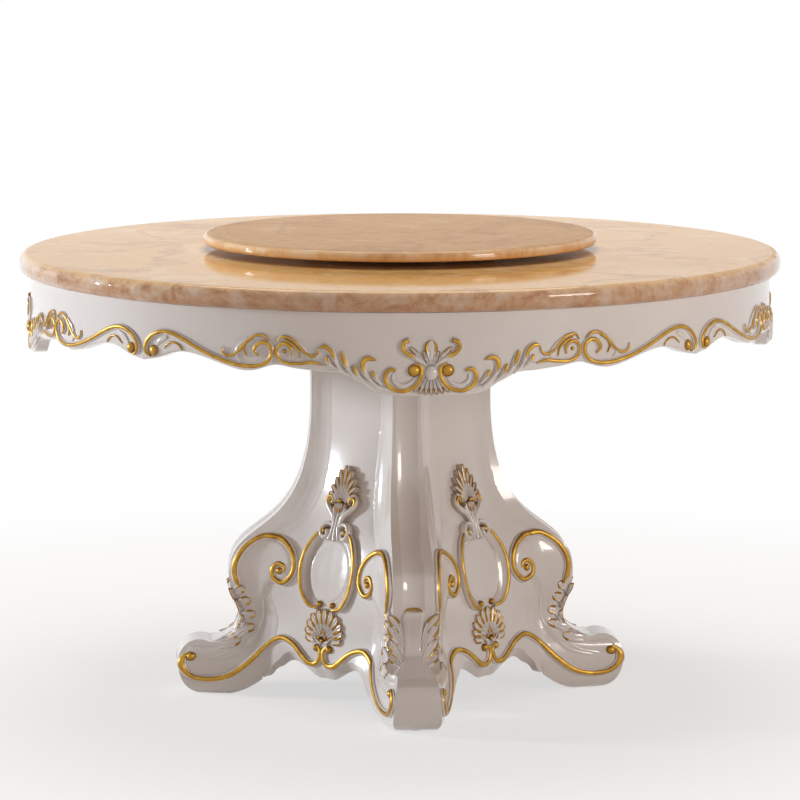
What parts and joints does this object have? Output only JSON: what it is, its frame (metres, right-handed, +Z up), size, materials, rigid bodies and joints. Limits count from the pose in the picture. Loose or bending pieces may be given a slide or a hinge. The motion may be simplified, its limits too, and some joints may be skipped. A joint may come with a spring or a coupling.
{
  "type": "dining table with lazy susan",
  "caption": "Round pedestal dining table with a polished stone top, a scalloped carved apron, scroll-footed cabriole legs and a turning lazy susan on a ring bearing.",
  "frame": {"origin": "on the floor under the centre of the pedestal", "axes": "+Z up along the axis of the top and of the lazy susan, front leg along -Y, +X to the right"},
  "size_m": [1.3498, 1.35, 0.826],
  "materials": {
    "lacquer": "gloss pearl white lacquer",
    "marble": "polished",
    "bare_wood": "raw",
    "steel": "zinc plated",
    "black_metal": "gloss black",
    "nylon": "matt",
    "soft_pad": "soft"
  },
  "bodies": {
    "base": {"apron_back": "lacquer", "apron_front": "lacquer", "apron_joint_blocks": "bare_wood", "apron_left": "lacquer", "apron_right": "lacquer", "apron_screws": "steel", "backing_board": "bare_wood", "bearing_grip_pads": "soft_pad", "bearing_lower_ring": "black_metal", "core_post": "bare_wood", "cross_beam_x": "bare_wood", "cross_beam_y": "bare_wood", "foot_glides": "nylon", "frame_bolts": "steel", "frame_washers": "steel", "glue_blocks": "bare_wood", "head_board": "bare_wood", "head_screws": "steel", "leg_back": "lacquer", "leg_dowels": "bare_wood", "leg_front": "lacquer", "leg_left": "lacquer", "leg_right": "lacquer", "marble_edge_ring": "marble", "marble_pads": "soft_pad", "marble_slab": "marble", "panel_back_left": "lacquer", "panel_back_right": "lacquer", "panel_front_left": "lacquer", "panel_front_right": "lacquer"},
    "cage": {"ball_cage": "nylon", "bearing_balls": "steel"},
    "turntable": {"susan_disc": "marble", "susan_bond_pads": "soft_pad", "bearing_upper_ring": "black_metal"}
  },
  "joints": [
    {"name": "turntable_spin", "type": "hinge", "parent": "base", "child": "turntable", "pos_m": [0, 0, 0.802], "axis": [0, 0, 1], "continuous": true},
    {"name": "cage_spin", "type": "hinge", "parent": "base", "child": "cage", "pos_m": [0, 0, 0.802], "axis": [0, 0, 1], "continuous": true}
  ],
  "couplings": [
    {"joint": "cage_spin", "follows": "turntable_spin", "ratio": 0.5}
  ]
}
